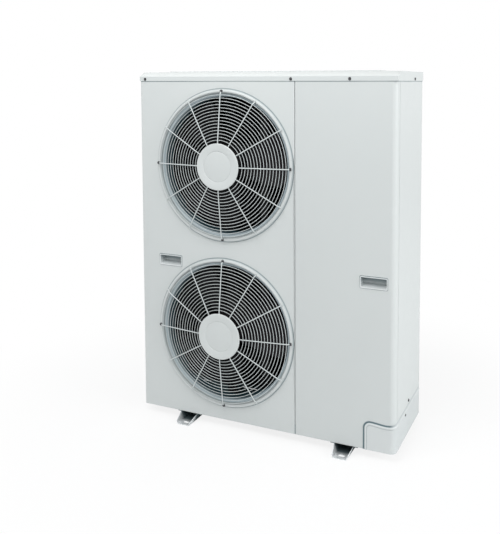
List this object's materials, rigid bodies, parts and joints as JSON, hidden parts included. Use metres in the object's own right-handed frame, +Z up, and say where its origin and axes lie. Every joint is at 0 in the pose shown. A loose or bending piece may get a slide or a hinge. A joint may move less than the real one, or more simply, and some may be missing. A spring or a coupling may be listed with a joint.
{
  "type": "air-cooled mini chiller",
  "caption": "Free-standing air-cooled water chiller cabinet that blows sideways through stacked guarded axial fans, with a pump and water connections at the rear.",
  "frame": {"origin": "on the floor, under the middle of the cabinet", "axes": "+Z up, +X to the right when facing the fans, +Y from the front to the rear"},
  "size_m": [1.0085, 0.437, 1.316],
  "materials": {
    "cabinet_paint": "fine-textured powder coat, satin, light grey",
    "guard_wire": "powder-coated wire, satin, light grey",
    "cap_paint": "powder coat, satin, light grey",
    "cover_plastic": "moulded plastic, matt, light grey",
    "bellmouth_plastic": "moulded plastic, satin, pale blue-grey",
    "galvanised_steel": "zinc-coated sheet, dull",
    "fan_plastic": "glass-filled plastic, matt, black",
    "motor_paint": "black paint, satin",
    "shaft_steel": "machined steel, oiled",
    "screw_zinc": "black zinc plating, dull",
    "coil_fins": "bare fin stock, dull",
    "copper_tube": "drawn copper, dull",
    "valve_brass": "turned brass, satin",
    "water_steel": "stainless steel, brushed",
    "pump_iron": "cast, painted grey",
    "black_rubber": "moulded rubber, matt",
    "vessel_paint": "gloss paint, red",
    "lever_paint": "gloss paint, red",
    "black_plastic": "moulded plastic, matt, black"
  },
  "bodies": {
    "cabinet": {"fan_panel": "cabinet_paint", "service_panel": "cabinet_paint", "side_panel": "cabinet_paint", "rear_post": "cabinet_paint", "top_cover": "cabinet_paint", "base_pan": "cabinet_paint", "upper_fan_guard": "guard_wire", "lower_fan_guard": "guard_wire", "rear_coil_guard": "guard_wire", "left_coil_guard": "guard_wire", "upper_guard_cap": "cap_paint", "lower_guard_cap": "cap_paint", "pipe_cover": "cover_plastic", "left_grip_cup": "cover_plastic", "right_grip_cup": "cover_plastic", "upper_bellmouth": "bellmouth_plastic", "lower_bellmouth": "bellmouth_plastic", "left_foot_rail": "galvanised_steel", "right_foot_rail": "galvanised_steel", "partition": "galvanised_steel", "coil_tube_sheets": "galvanised_steel", "exchanger_stand": "galvanised_steel", "control_box": "galvanised_steel", "control_box_lid": "galvanised_steel", "upper_fan_motor": "motor_paint", "lower_fan_motor": "motor_paint", "compressor": "motor_paint", "suction_accumulator": "motor_paint", "pump_motor": "motor_paint", "motor_mast": "motor_paint", "guard_screws": "screw_zinc", "case_screws": "screw_zinc", "condenser_coil": "coil_fins", "coil_return_bends": "copper_tube", "gas_header": "copper_tube", "liquid_header": "copper_tube", "discharge_pipe": "copper_tube", "suction_pipe": "copper_tube", "liquid_pipe": "copper_tube", "injection_pipe": "copper_tube", "filter_drier": "copper_tube", "expansion_valve": "valve_brass", "drain_valve": "valve_brass", "air_vent": "valve_brass", "plate_heat_exchanger": "water_steel", "water_return_pipe": "water_steel", "pump_riser_pipe": "water_steel", "pump_housing": "pump_iron", "compressor_mounts": "black_rubber", "vessel_hose": "black_rubber", "expansion_vessel": "vessel_paint", "terminal_block": "black_plastic", "cable_gland": "black_plastic"},
    "upper_fan_rotor": {"upper_fan": "fan_plastic", "upper_fan_shaft": "shaft_steel"},
    "lower_fan_rotor": {"lower_fan": "fan_plastic", "lower_fan_shaft": "shaft_steel"},
    "pump_wheel": {"pump_rotor": "shaft_steel"},
    "drain_lever": {"drain_valve_lever": "lever_paint"}
  },
  "joints": [
    {"name": "upper_fan_spin", "type": "hinge", "parent": "cabinet", "child": "upper_fan_rotor", "pos_m": [-0.1455, 0, 0.975], "axis": [0, 1, 0], "continuous": true},
    {"name": "lower_fan_spin", "type": "hinge", "parent": "cabinet", "child": "lower_fan_rotor", "pos_m": [-0.1455, 0, 0.358], "axis": [0, 1, 0], "continuous": true},
    {"name": "pump_wheel_spin", "type": "hinge", "parent": "cabinet", "child": "pump_wheel", "pos_m": [0.3895, -0.0205, 0.22], "axis": [0, 1, 0], "continuous": true},
    {"name": "drain_lever_turn", "type": "hinge", "parent": "cabinet", "child": "drain_lever", "pos_m": [0.3895, -0.0705, 0.13], "axis": [0, 0, 1], "range_deg": [-90, 0]}
  ]
}
